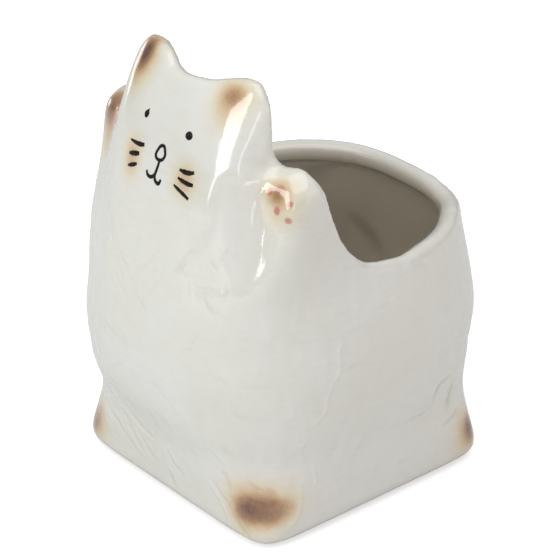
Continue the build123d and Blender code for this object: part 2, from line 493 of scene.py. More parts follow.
def faces_out(vert: bpy.types.MeshVertex) -> bool:
    """Whether the surface at a vertex faces away from the upright axis."""
    return vert.normal.x * vert.co.x + vert.normal.y * vert.co.y > 0.0


@dataclass
class PhotoCamera:
    """The camera at the photograph's viewing angle, solved from the pot's corners and rim."""

    azimuth_deg: float = 49.694
    elevation_deg: float = 27.849
    distance: float = 877.70 * MM
    target: tuple[float, float, float] = (0.0, -0.9245 * MM, 68.404 * MM)
    focal_px: float = 2494.33
    clip_start: float = 0.01
    clip_end: float = 50.0

    def position(self) -> Vector:
        """The camera's place."""
        return Vector(self.target) + self.backward() * self.distance

    def backward(self) -> Vector:
        """Unit vector from the target to the camera."""
        return bearing(self.azimuth_deg, self.elevation_deg)

    def ray(self, pixel: Pixel) -> Vector:
        """Unit vector from the camera through a pixel of the photograph.

        Args:
            pixel: Columns from the left and rows from the top of the photograph.

        Returns:
            The direction in the object's frame.
        """
        middle = IMAGE_SIZE / 2
        across, down = pixel[0] - middle, pixel[1] - middle
        return (looking_along(-self.backward()) @ Vector((across, -down, -self.focal_px))).normalized()

    def build(self) -> None:
        """Makes the scene's camera."""
        data = bpy.data.cameras.new("photo_camera")
        data.sensor_width = SENSOR_WIDTH_MM
        data.lens = self.focal_px * SENSOR_WIDTH_MM / IMAGE_SIZE
        data.clip_start = self.clip_start
        data.clip_end = self.clip_end
        camera = new_object("photo_camera", data)
        camera.location = self.position()
        camera.rotation_mode = "QUATERNION"
        camera.rotation_quaternion = looking_along(-self.backward())
        bpy.context.scene.camera = camera


@dataclass(frozen=True)
class Softbox:
    """A rectangular studio light that faces the planter."""

    name: str
    azimuth_deg: float
    elevation_deg: float
    distance: float
    width: float
    height: float
    radiance: float
    roll_deg: float = 0.0
    colour: tuple[float, float, float] = (1.0, 1.0, 1.0)

    def build(self, aim: Vector) -> None:
        """Makes the light.

        Args:
            aim: The point that the light faces.
        """
        outward = bearing(self.azimuth_deg, self.elevation_deg)
        data = bpy.data.lights.new(self.name, "AREA")
        data.shape = "RECTANGLE"
        data.size = self.width
        data.size_y = self.height
        data.color = self.colour
        data.energy = self.radiance * math.pi * self.width * self.height
        light = new_object(self.name, data)
        light.location = aim + outward * self.distance
        light.rotation_mode = "QUATERNION"
        roll = Quaternion(UP, math.radians(self.roll_deg))
        light.rotation_quaternion = looking_along(-outward) @ roll


@dataclass
class Studio:
    """A pale floor, an even pale surround and large softboxes."""

    floor_size: float = 40.0
    floor_colour: Colour = (0.78, 0.78, 0.78, 1.0)
    floor_roughness: float = 0.9
    floor_shine: float = 0.1
    floor_glow: float = 0.55
    surround: Step = Step(0.0, 0.8, 0.24, 0.62)
    softboxes: tuple[Softbox, ...] = (
        Softbox("front_window", 0.5, 24.2, 1.2, 0.44, 0.86, 3.8, 34.0, (0.95, 0.98, 1.0)),
        Softbox("edge_strip", 42.0, 15.0, 1.2, 0.10, 0.60, 1.8, 10.0),
        Softbox("left_strip", -88.0, 2.0, 1.3, 0.30, 0.26, 1.8),
        Softbox("right_wall", 115.0, 15.0, 1.6, 1.20, 1.20, 0.6, 0.0, (1.0, 0.84, 0.86)),
        Softbox("overhead", 60.0, 80.0, 1.6, 1.60, 1.60, 1.10),
    )

    def build(self, aim: Vector) -> None:
        """Makes the floor, the surround and the lights.

        Args:
            aim: The point that the lights face.
        """
        self._make_floor()
        self._make_surround()
        for softbox in self.softboxes:
            softbox.build(aim)

    def _make_floor(self) -> None:
        """Makes the floor under the planter, a little brighter to the camera than it is lit."""
        bm = bmesh.new()
        bmesh.ops.create_grid(bm, x_segments=1, y_segments=1, size=self.floor_size / 2)
        floor = object_from_bmesh(bm, "studio_floor")
        material, shader = new_material("studio_floor")
        sketch = NodeSketch(material.node_tree)
        shader.inputs["Base Color"].default_value = self.floor_colour
        shader.inputs["Roughness"].default_value = self.floor_roughness
        shader.inputs["Specular IOR Level"].default_value = self.floor_shine
        shader.inputs["Emission Color"].default_value = WHITE
        seen = sketch.add("LightPath").outputs["Is Camera Ray"]
        sketch.feed(shader.inputs["Emission Strength"], sketch.math("MULTIPLY", seen, self.floor_glow))
        floor.data.materials.append(material)
        floor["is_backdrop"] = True

    def _make_surround(self) -> None:
        """Makes the even light from all round, from dim at the horizon to bright overhead."""
        world = bpy.data.worlds.new("studio_surround")
        bpy.context.scene.world = world
        world.use_nodes = True
        sketch = NodeSketch(world.node_tree)
        background = world.node_tree.nodes["Background"]
        background.inputs["Color"].default_value = WHITE
        height = sketch.height(sketch.add("TexCoord").outputs["Generated"])
        sketch.feed(background.inputs["Strength"], sketch.ramp(height, self.surround))


def new_material(name: str) -> tuple[bpy.types.Material, bpy.types.Node]:
    """Makes a material with one Principled shader.

    Args:
        name: Name of the material.

    Returns:
        The material and its shader node.
    """
    material = bpy.data.materials.new(name)
    material.use_nodes = True
    return material, material.node_tree.nodes["Principled BSDF"]


@dataclass
class NodeSketch:
    """Short ways to add and link nodes in one node tree."""

    tree: bpy.types.NodeTree

    def add(self, kind: str, **settings: str | bpy.types.NodeTree) -> bpy.types.Node:
        """Adds a node and sets its properties.

        Args:
            kind: Blender's name of the node type, without ShaderNode.
            settings: Properties of the node.

        Returns:
            The node.
        """
        node = self.tree.nodes.new("ShaderNode" + kind)
        for key, value in settings.items():
            setattr(node, key, value)
        return node

    def feed(self, socket: Socket, value: Value) -> None:
        """Links a socket to another one, or sets its value.

        Args:
            socket: The input.
            value: An output socket or a plain value.
        """
        if isinstance(value, Socket):
            self.tree.links.new(value, socket)
        else:
            socket.default_value = value

    def place(self) -> Socket:
        """The object's own coordinates."""
        return self.add("TexCoord").outputs["Object"]

    def height(self, place: Socket) -> Socket:
        """Takes the third coordinate of a place.

        Args:
            place: The coordinates.

        Returns:
            The height.
        """
        split = self.add("SeparateXYZ")
        self.feed(split.inputs["Vector"], place)
        return split.outputs["Z"]

    def attribute(self, name: str) -> Socket:
        """A number that is stored at the vertices."""
        return self.add("Attribute", attribute_name=name).outputs["Fac"]

    def math(self, operation: str, first: Value, second: Value = 0.0) -> Socket:
        """One Math node.

        Args:
            operation: The node's operation.
            first: First input.
            second: Second input.

        Returns:
            The value.
        """
        node = self.add("Math", operation=operation)
        self.feed(node.inputs[0], first)
        self.feed(node.inputs[1], second)
        return node.outputs[0]

    def vector_math(self, operation: str, first: Value, second: Value) -> Socket:
        """One Vector Math node whose result is a vector.

        Args:
            operation: The node's operation.
            first: First input.
            second: Second input.

        Returns:
            The vector.
        """
        node = self.add("VectorMath", operation=operation)
        self.feed(node.inputs[0], first)
        self.feed(node.inputs[1], second)
        return node.outputs["Vector"]

    def length(self, vector: Socket) -> Socket:
        """Measures a vector.

        Args:
            vector: The vector.

        Returns:
            Its length.
        """
        node = self.add("VectorMath", operation="LENGTH")
        self.feed(node.inputs[0], vector)
        return node.outputs["Value"]

    def ramp(self, value: Value, step: Step) -> Socket:
        """Carries a value over a smooth step.

        Args:
            value: What is read.
            step: The step.

        Returns:
            The stepped value.
        """
        node = self.add("MapRange", interpolation_type="SMOOTHSTEP")
        self.feed(node.inputs["Value"], value)
        node.inputs["From Min"].default_value = step.low
        node.inputs["From Max"].default_value = step.high
        node.inputs["To Min"].default_value = step.bottom
        node.inputs["To Max"].default_value = step.top
        return node.outputs["Result"]

    def noise(self, place: Socket, grain: Grain) -> Socket:
        """One Noise Texture.

        Args:
            place: The coordinates.
            grain: The pattern.

        Returns:
            The value from 0 to 1.
        """
        node = self.add("TexNoise")
        self.feed(node.inputs["Vector"], place)
        node.inputs["Scale"].default_value = grain.scale
        node.inputs["Detail"].default_value = grain.detail
        node.inputs["Distortion"].default_value = grain.distortion
        return node.outputs["Fac"]

    def mix(self, factor: Value, under: Value, over: Value, blend: Blend = Blend.COVER) -> Socket:
        """Lays one colour over another.

        Args:
            factor: Share of the second colour.
            under: First colour.
            over: Second colour.
            blend: How the second colour is laid over the first.

        Returns:
            The mixed colour.
        """
        node = self.add("Mix", data_type="RGBA", blend_type=blend.value)
        self.feed(node.inputs["Factor"], factor)
        self.feed(node.inputs["A"], under)
        self.feed(node.inputs["B"], over)
        return node.outputs["Result"]

    def bump(self, height: Socket, depth: float, strength: float = 1.0, over: Socket | None = None) -> Socket:
        """One Bump node.

        Args:
            height: The pattern, from 0 to 1.
            depth: How deep it goes.
            strength: Share of it that is used.
            over: Normal of the relief that this one lies on.

        Returns:
            The normal.
        """
        node = self.add("Bump")
        self.feed(node.inputs["Height"], height)
        node.inputs["Distance"].default_value = depth
        node.inputs["Strength"].default_value = strength
        if over is not None:
            self.feed(node.inputs["Normal"], over)
        return node.outputs["Normal"]


@dataclass(frozen=True)
class AirbrushedSpot:
    """The shared airbrushed spot: a soft, slightly uneven blob round a point."""

    name: str = "airbrushed_spot"
    inputs: tuple[tuple[str, str], ...] = (
        ("Place", "NodeSocketVector"),
        ("Middle", "NodeSocketVector"),
        ("Radii", "NodeSocketVector"),
        ("Hardness", "NodeSocketFloat"),
    )
    edge: Grain = Grain(170.0, 2.0)
    unevenness: float = 0.35
    falloff: float = 1.3

    def group(self) -> bpy.types.NodeTree:
        """Makes the spot's node group once, and finds it again after that.

        Returns:
            The node group, whose output is Mask.
        """
        existing = bpy.data.node_groups.get(self.name)
        if existing:
            return existing
        group = bpy.data.node_groups.new(self.name, "ShaderNodeTree")
        for name, kind in self.inputs:
            group.interface.new_socket(name, in_out="INPUT", socket_type=kind)
        group.interface.new_socket("Mask", in_out="OUTPUT", socket_type="NodeSocketFloat")
        sketch = NodeSketch(group)
        given = group.nodes.new("NodeGroupInput").outputs
        result = group.nodes.new("NodeGroupOutput")
        offset = sketch.vector_math("SUBTRACT", given["Place"], given["Middle"])
        reach = sketch.length(sketch.vector_math("DIVIDE", offset, given["Radii"]))
        centred = sketch.math("SUBTRACT", sketch.noise(given["Place"], self.edge), 0.5)
        shifted = sketch.math("ADD", reach, sketch.math("MULTIPLY", centred, self.unevenness))
        squared = sketch.math("MULTIPLY", shifted, shifted)
        powered = sketch.math("POWER", squared, given["Hardness"])
        mask = sketch.math("EXPONENT", sketch.math("MULTIPLY", powered, -self.falloff))
        sketch.feed(result.inputs["Mask"], mask)
        return group


@dataclass(frozen=True)
class SpotPlace:
    """A soft spot and the point of the surface where it lies."""

    spot: SoftSpot
    middle: Vector


@dataclass(frozen=True)
class GlazeFinish:
    """Warm white glaze over pale clay, glossy and slightly uneven, with airbrushed spots, and with painted
    shade inside the pot, under the lip and in the creases.
    """

    ivory: Colour = (0.770, 0.765, 0.690, 1.0)
    cream: Colour = (0.800, 0.790, 0.745, 1.0)
    thin: Colour = (0.690, 0.665, 0.600, 1.0)
    inner_shade: Colour = (0.640, 0.590, 0.500, 1.0)
    pooled_and_shade: Colour = (0.600, 0.575, 0.520, 1.0)
    clay: Colour = (0.62, 0.56, 0.47, 1.0)
    drift: Grain = Grain(28.0, 3.0, 0.4)
    drift_step: Step = Step(0.35, 0.65)
    wiped: Grain = Grain(130.0, 4.0, 0.5)
    wiped_squash: tuple[float, float, float] = (1.0, 1.0, 5.0)
    wiped_step: Step = Step(0.45, 0.75, 0.0, 0.22)
    speckle: Grain = Grain(900.0, 3.0)
    speckle_step: Step = Step(0.25, 0.75, 0.94, 1.06)
    cloud: Grain = Grain(90.0, 3.0)
    gloss_step: Step = Step(0.3, 0.7, 0.10, 0.17)
    foot_step: Step = Step(2.0 * MM, 2.4 * MM, 1.0, 0.0)
    bare_roughness: float = 0.85
    glaze_ior: float = 1.5
    coat_ior: float = 1.62
    coat_roughness: float = 0.03
    sway: Grain = Grain(35.0, 1.0)
    sway_reach: float = 20.0 * MM
    strokes: Grain = Grain(330.0, 2.0, 0.3)
    stroke_stretch: tuple[float, float, float] = (1.0, 1.0, 0.30)
    stroke_depth: float = 0.12 * MM
    waves: Grain = Grain(60.0, 1.0)
    wave_depth: float = 0.25 * MM
    wave_strength: float = 0.5

    def material(self, places: list[SpotPlace]) -> bpy.types.Material:
        """Builds the glaze.

        Args:
            places: The airbrushed spots on the surface.

        Returns:
            The material.
        """
        material, shader = new_material("cat_glaze")
        sketch = NodeSketch(material.node_tree)
        place = sketch.place()
        inside = sketch.attribute(INSIDE_SHADE_ATTRIBUTE)
        outside = sketch.math("SUBTRACT", 1.0, inside)
        # Painted shade: the tone inside the pot darkens its walls and floor, a little less on the lip's face.
        colour = sketch.mix(inside, self._base_colour(sketch, place), self.inner_shade)
        # Painted shade with glaze pooling: darker in the creases by their depth, with painted shadow under
        # the lip and painted shade low in the pot.
        colour = sketch.mix(sketch.attribute(POOLED_AND_SHADE_ATTRIBUTE), colour, self.pooled_and_shade, Blend.TINT)
        brown = self._spot_shares(sketch, place, places, Tint.BROWN)
        colour = sketch.mix(1.0, colour, self._brown_tone(sketch, place, brown, outside), Blend.TINT)
        for share in self._spot_shares(sketch, place, places, Tint.PINK):
            colour = sketch.mix(sketch.math("MULTIPLY", share, outside), colour, Tint.PINK.value)
        bare = sketch.ramp(sketch.height(place), self.foot_step)
        sketch.feed(shader.inputs["Base Color"], sketch.mix(bare, colour, self.clay))
        glossy = sketch.ramp(sketch.noise(place, self.cloud), self.gloss_step)
        bare_part = sketch.math("MULTIPLY", bare, self.bare_roughness)
        sketch.feed(shader.inputs["Roughness"], sketch.math("MAXIMUM", glossy, bare_part))
        sketch.feed(shader.inputs["Coat Weight"], sketch.math("SUBTRACT", 1.0, bare))
        shader.inputs["Coat Roughness"].default_value = self.coat_roughness
        shader.inputs["Coat IOR"].default_value = self.coat_ior
        shader.inputs["IOR"].default_value = self.glaze_ior
        sketch.feed(shader.inputs["Normal"], self._relief(sketch, place))
        return material

    def _base_colour(self, sketch: NodeSketch, place: Socket) -> Socket:
        """Mixes the glaze's own colour, a little warmer in some places than in others.

        Args:
            sketch: The node tree.
            place: The coordinates.

        Returns:
            The colour.
        """
        drifted = sketch.ramp(sketch.noise(place, self.drift), self.drift_step)
        colour = sketch.mix(drifted, self.ivory, self.cream)
        flattened = sketch.vector_math("MULTIPLY", place, self.wiped_squash)
        wiped = sketch.ramp(sketch.noise(flattened, self.wiped), self.wiped_step)
        return sketch.mix(wiped, colour, self.thin)

    def _brown_tone(
        self, sketch: NodeSketch, place: Socket, shares: list[Socket], outside: Socket
    ) -> Socket:
        """Adds up the brown spots and gives the tone that they lay over the glaze.

        Args:
            sketch: The node tree.
            place: The coordinates.
            shares: How much brown each spot sprays on.
            outside: 1 outside the pot and 0 inside it.

        Returns:
            The tone.
        """
        total = shares[0]
        for share in shares[1:]:
            total = sketch.math("ADD", total, share)
        speckled = sketch.ramp(sketch.noise(place, self.speckle), self.speckle_step)
        sprayed = sketch.math("MULTIPLY", sketch.math("MULTIPLY", total, speckled), outside)
        tones = sketch.add("ValToRGB")
        sketch.feed(tones.inputs["Fac"], sprayed)
        stops = tones.color_ramp.elements
        for share, tone in AIRBRUSH_TONES[1:-1]:
            stops.new(share).color = tone
        stops[0].color = AIRBRUSH_TONES[0][1]
        stops[-1].color = AIRBRUSH_TONES[-1][1]
        return tones.outputs["Color"]

    def _spot_shares(
        self, sketch: NodeSketch, place: Socket, places: list[SpotPlace], tint: Tint
    ) -> list[Socket]:
        """Tells how much of each spot's colour lies on the glaze.

        Args:
            sketch: The node tree.
            place: The coordinates.
            places: All spots.
            tint: The colour of the spots that are wanted.

        Returns:
            A share from 0 to 1 for each spot of that colour.
        """
        shares = []
        for spot_place in places:
            spot = spot_place.spot
            if spot.tint is not tint:
                continue
            node = sketch.add("Group", node_tree=AirbrushedSpot().group())
            sketch.feed(node.inputs["Place"], place)
            node.inputs["Middle"].default_value = spot_place.middle
            node.inputs["Radii"].default_value = [radius * MM for radius in spot.radii_mm]
            node.inputs["Hardness"].default_value = spot.hardness
            shares.append(sketch.math("MULTIPLY", node.outputs["Mask"], spot.strength))
        return shares

    def _relief(self, sketch: NodeSketch, place: Socket) -> Socket:
        """Lays fine combed strokes in the clay under the glaze, and the glaze's own slight waves.

        Args:
            sketch: The node tree.
            place: The coordinates.

        Returns:
            The normal.
        """
        sideways = sketch.add("CombineXYZ")
        swayed = sketch.math("MULTIPLY", sketch.noise(place, self.sway), self.sway_reach)
        sketch.feed(sideways.inputs["X"], swayed)
        moved = sketch.vector_math("ADD", place, sideways.outputs["Vector"])
        stretched = sketch.vector_math("MULTIPLY", moved, self.stroke_stretch)
        combed = sketch.bump(sketch.noise(stretched, self.strokes), self.stroke_depth)
        return sketch.bump(sketch.noise(place, self.waves), self.wave_depth, self.wave_strength, combed)


@dataclass(frozen=True)
class PaintFinish:
    """Black brown brush paint, less glossy than the glaze and a little thinner in places."""

    colour: Colour = (0.010, 0.008, 0.007, 1.0)
    thin_colour: Colour = (0.030, 0.020, 0.015, 1.0)
    thinning: Grain = Grain(700.0, 2.0)
    thin_step: Step = Step(0.45, 0.75)
    gloss_step: Step = Step(0.3, 0.7, 0.35, 0.50)
    shine: float = 0.15

    def material(self) -> bpy.types.Material:
        """Builds the paint.

        Returns:
            The material.
        """
        material, shader = new_material("face_paint")
        sketch = NodeSketch(material.node_tree)
        thin = sketch.noise(sketch.place(), self.thinning)
        colour = sketch.mix(sketch.ramp(thin, self.thin_step), self.colour, self.thin_colour)
        sketch.feed(shader.inputs["Base Color"], colour)
        sketch.feed(shader.inputs["Roughness"], sketch.ramp(thin, self.gloss_step))
        shader.inputs["Specular IOR Level"].default_value = self.shine
        return material


@dataclass(frozen=True)
class RubberFinish:
    """Dark soft rubber with a fine moulded grain and pale dust."""

    colour: Colour = (0.030, 0.029, 0.028, 1.0)
    dust_colour: Colour = (0.085, 0.080, 0.074, 1.0)
    dust: Grain = Grain(220.0, 3.0)
    dust_step: Step = Step(0.5, 0.8, 0.0, 0.5)
    gloss_step: Step = Step(0.3, 0.7, 0.48, 0.68)
    moulding: Grain = Grain(2500.0, 2.0)
    moulding_depth: float = 0.03 * MM
    moulding_strength: float = 0.6

    def material(self) -> bpy.types.Material:
        """Builds the rubber.

        Returns:
            The material.
        """
        material, shader = new_material("plug_rubber")
        sketch = NodeSketch(material.node_tree)
        place = sketch.place()
        dusty = sketch.noise(place, self.dust)
        colour = sketch.mix(sketch.ramp(dusty, self.dust_step), self.colour, self.dust_colour)
        sketch.feed(shader.inputs["Base Color"], colour)
        sketch.feed(shader.inputs["Roughness"], sketch.ramp(dusty, self.gloss_step))
        moulded = sketch.noise(place, self.moulding)
        normal = sketch.bump(moulded, self.moulding_depth, self.moulding_strength)
        sketch.feed(shader.inputs["Normal"], normal)
        return material


@dataclass(frozen=True)
class FeltFinish:
    """Grey brown pressed felt."""

    colour: Colour = (0.150, 0.130, 0.108, 1.0)
    fibre_colour: Colour = (0.245, 0.220, 0.190, 1.0)
    fibres: Grain = Grain(1800.0, 5.0, 1.5)
    fibre_step: Step = Step(0.35, 0.7)
    fibre_depth: float = 0.15 * MM
    tufts: Grain = Grain(420.0, 3.0)
    gloss_step: Step = Step(0.3, 0.7, 0.88, 1.0)
    sheen: float = 0.4

    def material(self) -> bpy.types.Material:
        """Builds the felt.

        Returns:
            The material.
        """
        material, shader = new_material("pad_felt")
        sketch = NodeSketch(material.node_tree)
        place = sketch.place()
        pressed = sketch.noise(place, self.fibres)
        colour = sketch.mix(sketch.ramp(pressed, self.fibre_step), self.colour, self.fibre_colour)
        sketch.feed(shader.inputs["Base Color"], colour)
        rough = sketch.ramp(sketch.noise(place, self.tufts), self.gloss_step)
        sketch.feed(shader.inputs["Roughness"], rough)
        shader.inputs["Sheen Weight"].default_value = self.sheen
        sketch.feed(shader.inputs["Normal"], sketch.bump(pressed, self.fibre_depth))
        return material


@dataclass
class CeramicBody:
    """The one casting: pot, arms, head and ears, with the thick lip inside its back rim."""

    voxel: float = 1.46 * MM
    weld_distance: float = 0.0005 * MM
    smooth_rounds: int = 4
    final_rounds: int = 2
    smooth_factor: float = 0.5
    settle_share: float = 0.9
    same_side: float = 0.5
    rim_from: float = 10.0 * MM
    lip_height: float = 6.5 * MM
    lip_width: float = 2.8 * MM
    lip_steps: int = 120
    lip_sunk: float = 0.8 * MM
    lip_ends: tuple[float, float] = (-2.0 * MM, 22.0 * MM)
    neck_low: float = 97.0 * MM
    neck_high: float = 132.0 * MM
    neck_angle_deg: float = 40.0
    neck_fade_deg: float = 50.0
    fur_depth: float = 0.16 * MM
    fur_lowest: float = 6.0 * MM
    fur_highest: float = 118.0 * MM
    fur_fades: tuple[float, float] = (10.0 * MM, 20.0 * MM)
    fur_waves: tuple[float, float] = (210.0, 75.0)
    fur_sharpness: float = 2.2
    sway_waves: float = 40.0
    sway_share: float = 0.5
    refine_reaches: tuple[float, ...] = (2.0 * MM, 1.3 * MM)
    widest_refined: float = 2.0 * MM
    point_spacing: float = 0.3 * MM
    # Crease depth for the full darkening, which is glaze pooling and painted shade; then where shade is
    # painted inside the pot, under the lip and low down.
    pool_and_shade_depth: float = 1.5 * MM
    floor_low: float = 4.0 * MM
    floor_top: float = 9.0 * MM
    floor_facing: float = 0.5
    wall_facing: tuple[float, float] = (0.15, 0.65)
    back_part: tuple[float, float] = (-6.0 * MM, 8.0 * MM)
    lip_tone: float = 0.75
    lip_fade: float = 1.2 * MM
    undercut_reach: float = 1.6 * MM
    low_shade_from: float = 90.0 * MM
    low_shade_reach: float = 35.0 * MM
    low_shade_share: float = 0.55
    lifts: tuple[Lift, ...] = LIFTS
    spots: tuple[SoftSpot, ...] = SOFT_SPOTS
    creases: tuple[Crease, ...] = CREASES
    finish: GlazeFinish = field(default_factory=GlazeFinish)

    def build(self, camera: PhotoCamera) -> bpy.types.Object:
        """Makes the casting over the CAD node and glazes it.

        Args:
            camera: The camera, whose pixels place the lifts, creases and spots.

        Returns:
            The object that stands for the CAD node.
        """
        casting = self._welded_casting()
        cast_surface = Surface.of(casting)
        body = self._even_mesh(casting)
        self._settle(body, cast_surface)
        self._nudge(body, camera, Surface.of(body))
        self._fill_neck(body, Surface.of(body))
        self._comb_fur(body)
        surface = Surface.of(body)
        lines = self._crease_lines(camera, surface)
        self._refine_near(body, lines)
        self._press_creases(body, lines)
        self._paint_inside_shade(body)
        places = [place for spot in self.spots for place in self._spot_places(spot, camera, surface)]
        body.data.materials.clear()
        body.data.materials.append(self.finish.material(places))
        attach(body, POT_BODY)
        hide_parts(CERAMIC_NODE)
        return body

    def _welded_casting(self) -> bpy.types.Object:
        """Joins the CAD casting's loose triangles into one shell and adds the lip.

        Returns:
            The casting and the lip as one object.
        """
        bm = bmesh.new()
        bm.from_mesh(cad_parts[CERAMIC_NODE].data)
        bmesh.ops.remove_doubles(bm, verts=bm.verts, dist=self.weld_distance)
        self._add_lip(bm)
        return object_from_bmesh(bm, "cat_casting")

    def _add_lip(self, bm: bmesh.types.BMesh) -> None:
        """Adds a closed ring that stands in from the wall under the back rim and sinks into it in front.

        Args:
            bm: The casting, which the ring runs into.
        """
        walls = BVHTree.FromBMesh(bm)
        rim = self._rim_height()
        middle = Vector((0.0, 0.0, rim - self.lip_height))
        rows = []
        for inward_share, drop_share in LIP_PROFILE:
            made = bmesh.ops.create_circle(bm, cap_ends=False, segments=self.lip_steps, radius=1.0)
            for vert in made["verts"]:
                outward = vert.co.normalized()
                wall = walls.ray_cast(middle, outward)[3]
                fullness = eased(share_between(outward.y * wall, *self.lip_ends))
                inward = inward_share * self.lip_width
                if inward_share >= 0.0:
                    inward = inward * fullness - self.lip_sunk * (1.0 - fullness)
                vert.co = outward * (wall - inward)
                vert.co.z = rim - drop_share * self.lip_height
            ring = set(made["verts"])
            rows.append([edge for edge in bm.edges if all(vert in ring for vert in edge.verts)])
        for lower, upper in zip(rows, rows[1:] + rows[:1]):
            bmesh.ops.bridge_loops(bm, edges=lower + upper)

    def _rim_height(self) -> float:
        """Height of the level back rim, from the highest point of the casting behind its middle."""
        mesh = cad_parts[CERAMIC_NODE].data
        return max(vert.co.z for vert in mesh.vertices if vert.co.y > self.rim_from)

    def _even_mesh(self, casting: bpy.types.Object) -> bpy.types.Object:
        """Melts casting and lip into one even, smooth mesh.

        Args:
            casting: The joined shells, which are removed.

        Returns:
            The new object.
        """
        remesh = casting.modifiers.new("melt", "REMESH")
        remesh.mode = "VOXEL"
        remesh.voxel_size = self.voxel
        remesh.use_smooth_shade = True
        smooth = casting.modifiers.new("relax", "SMOOTH")
        smooth.factor = self.smooth_factor
        smooth.iterations = self.smooth_rounds
        graph = bpy.context.evaluated_depsgraph_get()
        mesh = bpy.data.meshes.new_from_object(casting.evaluated_get(graph))
        mesh.name = "cat_body"
        bpy.data.objects.remove(casting)
        mesh.shade_smooth()
        return new_object("cat_body", mesh)

    def _settle(self, body: bpy.types.Object, cast_surface: "Surface") -> None:
        """Puts the smoothed mesh back on the surface that it was melted from.

        Args:
            body: The casting.
            cast_surface: The joined CAD casting and lip.
        """
        places = []
        for vert in body.data.vertices:
            nearest, facing, _, distance = cast_surface.tree.find_nearest(vert.co)
            trusted = facing.dot(vert.normal) > self.same_side and distance < self.voxel
            places.append(vert.co.lerp(nearest, self.settle_share if trusted else 0.0))
        move_vertices(body.data, places)
        bm = bmesh.new()
        bm.from_mesh(body.data)
        axes = {"use_axis_x": True, "use_axis_y": True, "use_axis_z": True}
        for _ in range(self.final_rounds):
            bmesh.ops.smooth_vert(bm, verts=bm.verts, factor=self.smooth_factor, **axes)
        bm.to_mesh(body.data)
        bm.free()

    def _nudge(self, body: bpy.types.Object, camera: PhotoCamera, surface: "Surface") -> None:
        """Moves the few places where the hand-made pot differs from its even form.

        Args:
            body: The casting.
            camera: The camera.
            surface: The casting's surface before any lift.
        """
        moves = []
        for lift in self.lifts:
            middle, normal = surface.under_pixel(camera, lift.pixel)
            move = UP * (lift.rise_mm * MM) + normal * (lift.swell_mm * MM)
            moves.append((middle, move, lift.radius_mm * MM))
            log.debug("lift %s at %s", lift.name, middle)
        places = []
        for vert in body.data.vertices:
            place = vert.co.copy()
            for middle, move, radius in moves:
                reach = (vert.co - middle).length / radius
                place += move * math.exp(-reach * reach)
            places.append(place)
        move_vertices(body.data, places)

    def _fill_neck(self, body: bpy.types.Object, surface: "Surface") -> None:
        """Lets the neck run straight down from the cheeks to the chest.

        Args:
            body: The casting.
            surface: The casting's surface.
        """
        ends = (self.neck_low, self.neck_high)
        degrees = range(round(self.neck_fade_deg) + 2)
        reaches = [[surface.reach(math.radians(degree), height) for degree in degrees] for height in ends]
        places = []
        for vert in body.data.vertices:
            place = vert.co.copy()
            angle = abs(math.degrees(math.atan2(place.x, -place.y)))
            if self.neck_low < place.z < self.neck_high and angle < self.neck_fade_deg and faces_out(vert):
                low, high = (read_between(row, angle) for row in reaches)
                straight = low + (high - low) * share_between(place.z, *ends)
                reach = math.hypot(place.x, place.y)
                fade = eased(share_between(angle, self.neck_fade_deg, self.neck_angle_deg))
                stretch = (reach + max(straight - reach, 0.0) * fade) / reach
                place.x *= stretch
                place.y *= stretch
            places.append(place)
        move_vertices(body.data, places)

    def _comb_fur(self, body: bpy.types.Object) -> None:
        """Gives the outer clay its shallow combed waves.

        Args:
            body: The casting.
        """
        flat_waves, upright_waves = self.fur_waves
        low_fade, high_fade = self.fur_fades
        places = []
        for vert in body.data.vertices:
            place = vert.co.copy()
            if faces_out(vert) and self.fur_lowest < place.z < self.fur_highest:
                rising = share_between(place.z, self.fur_lowest, self.fur_lowest + low_fade)
                falling = share_between(place.z, self.fur_highest, self.fur_highest - high_fade)
                sway = noise.noise(place * self.sway_waves) * self.sway_share
                across, back, up = place.x * flat_waves, place.y * flat_waves, place.z * upright_waves
                wave = noise.noise(Vector((across + sway, back - sway, up + sway)))
                ridge = 1.0 - abs(wave) * self.fur_sharpness
                place += vert.normal * (ridge * self.fur_depth * min(rising, falling))
            places.append(place)
        move_vertices(body.data, places)

    def _crease_lines(self, camera: PhotoCamera, surface: "Surface") -> list["CreaseLine"]:
        """Lays every crease on the casting, and its mirror image if it has one.

        Args:
            camera: The camera.
            surface: The casting's surface before any crease.

        Returns:
            The lines.
        """
        lines = []
        for crease in self.creases:
            knots = [surface.under_pixel(camera, pixel) for pixel in crease.pixels]
            points = [point for point, _ in knots]
            normals = [normal for _, normal in knots]
            count = points_along(points, self.point_spacing)
            log.debug("crease %s with %d points", crease.name, count)
            lines.append(CreaseLine(crease, smooth_line(points, count), smooth_line(normals, count)))
            if crease.mirrored:
                points = [mirrored(point) for point in points]
                normals = [mirrored(normal) for normal in normals]
                lines.append(CreaseLine(crease, smooth_line(points, count), smooth_line(normals, count)))
        return lines

    def _refine_near(self, body: bpy.types.Object, lines: list["CreaseLine"]) -> None:
        """Makes the mesh finer along the narrow creases.

        Args:
            body: The casting.
            lines: The creases.
        """
        fine = [line for line in lines if line.crease.width_mm * MM < self.widest_refined]
        tree = search_tree([point for line in fine for point in line.points])
        bm = bmesh.new()
        bm.from_mesh(body.data)
        for reach in self.refine_reaches:
            faces = [face for face in bm.faces if tree.find(face.calc_center_median())[2] < reach]
            edges = {edge for face in faces for edge in face.edges}
            bmesh.ops.subdivide_edges(bm, edges=list(edges), cuts=1, use_grid_fill=True)
        bmesh.ops.triangulate(bm, faces=[face for face in bm.faces if len(face.verts) > 4])
        bm.to_mesh(body.data)
        bm.free()
        body.data.shade_smooth()

